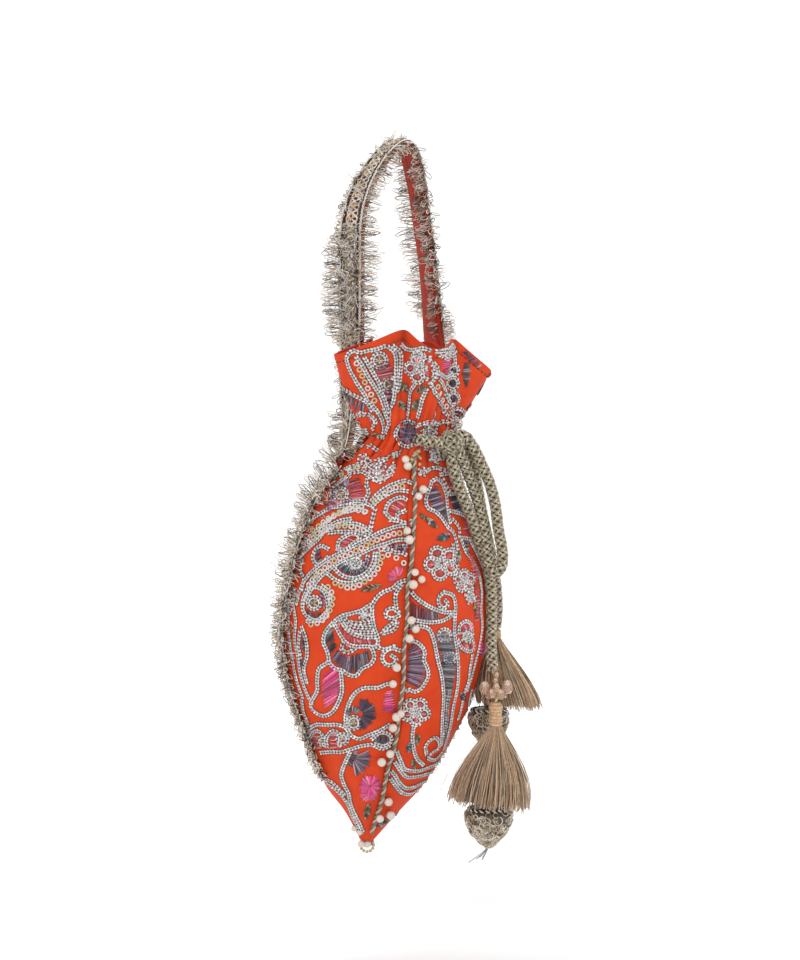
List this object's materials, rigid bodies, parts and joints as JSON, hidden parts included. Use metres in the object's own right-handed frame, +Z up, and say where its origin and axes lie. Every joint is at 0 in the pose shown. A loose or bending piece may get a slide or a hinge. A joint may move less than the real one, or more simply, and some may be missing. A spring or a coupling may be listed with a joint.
{
  "type": "potli bag",
  "caption": "Embroidered silk drawstring pouch with a frilled mouth, lace-fringed handle, pearl seams and tasselled cord ends.",
  "frame": {"origin": "the hang point, under the strap at the top of its arch", "axes": "+Z up, -Y the pearl seam at the front, -X and +X towards the two strap seams"},
  "size_m": [0.1409, 0.0876, 0.3539],
  "materials": {
    "silk": "orange-red silk, embroidered",
    "strap_silk": "dark orange-red silk",
    "zari_lace": "dull silver-gold metal-thread lace",
    "pearl": "ivory imitation pearl",
    "cord": "braided olive-gold cord",
    "tassel_silk": "beige silk thread",
    "crystal": "cut peach glass"
  },
  "bodies": {
    "root": {"panel_front_right": "silk", "panel_back_right": "silk", "panel_back_left": "silk", "panel_front_left": "silk", "handle_strap": "strap_silk", "lace_handle": "zari_lace", "lace_seam_left": "zari_lace", "lace_seam_right": "zari_lace", "pearl_seam_front": "pearl", "pearl_seam_back": "pearl", "tip_cluster": "pearl", "drawstring_knot": "cord", "drawstring_loop": "cord", "drawstring_tail_front": "cord", "drawstring_tail_rear": "cord", "tassel_front_crystals": "crystal", "tassel_front_head": "tassel_silk", "tassel_front_skirt": "tassel_silk", "tassel_front_bud": "zari_lace", "tassel_rear_head": "tassel_silk", "tassel_rear_skirt": "tassel_silk", "tassel_rear_bud": "zari_lace"}
  },
  "joints": []
}
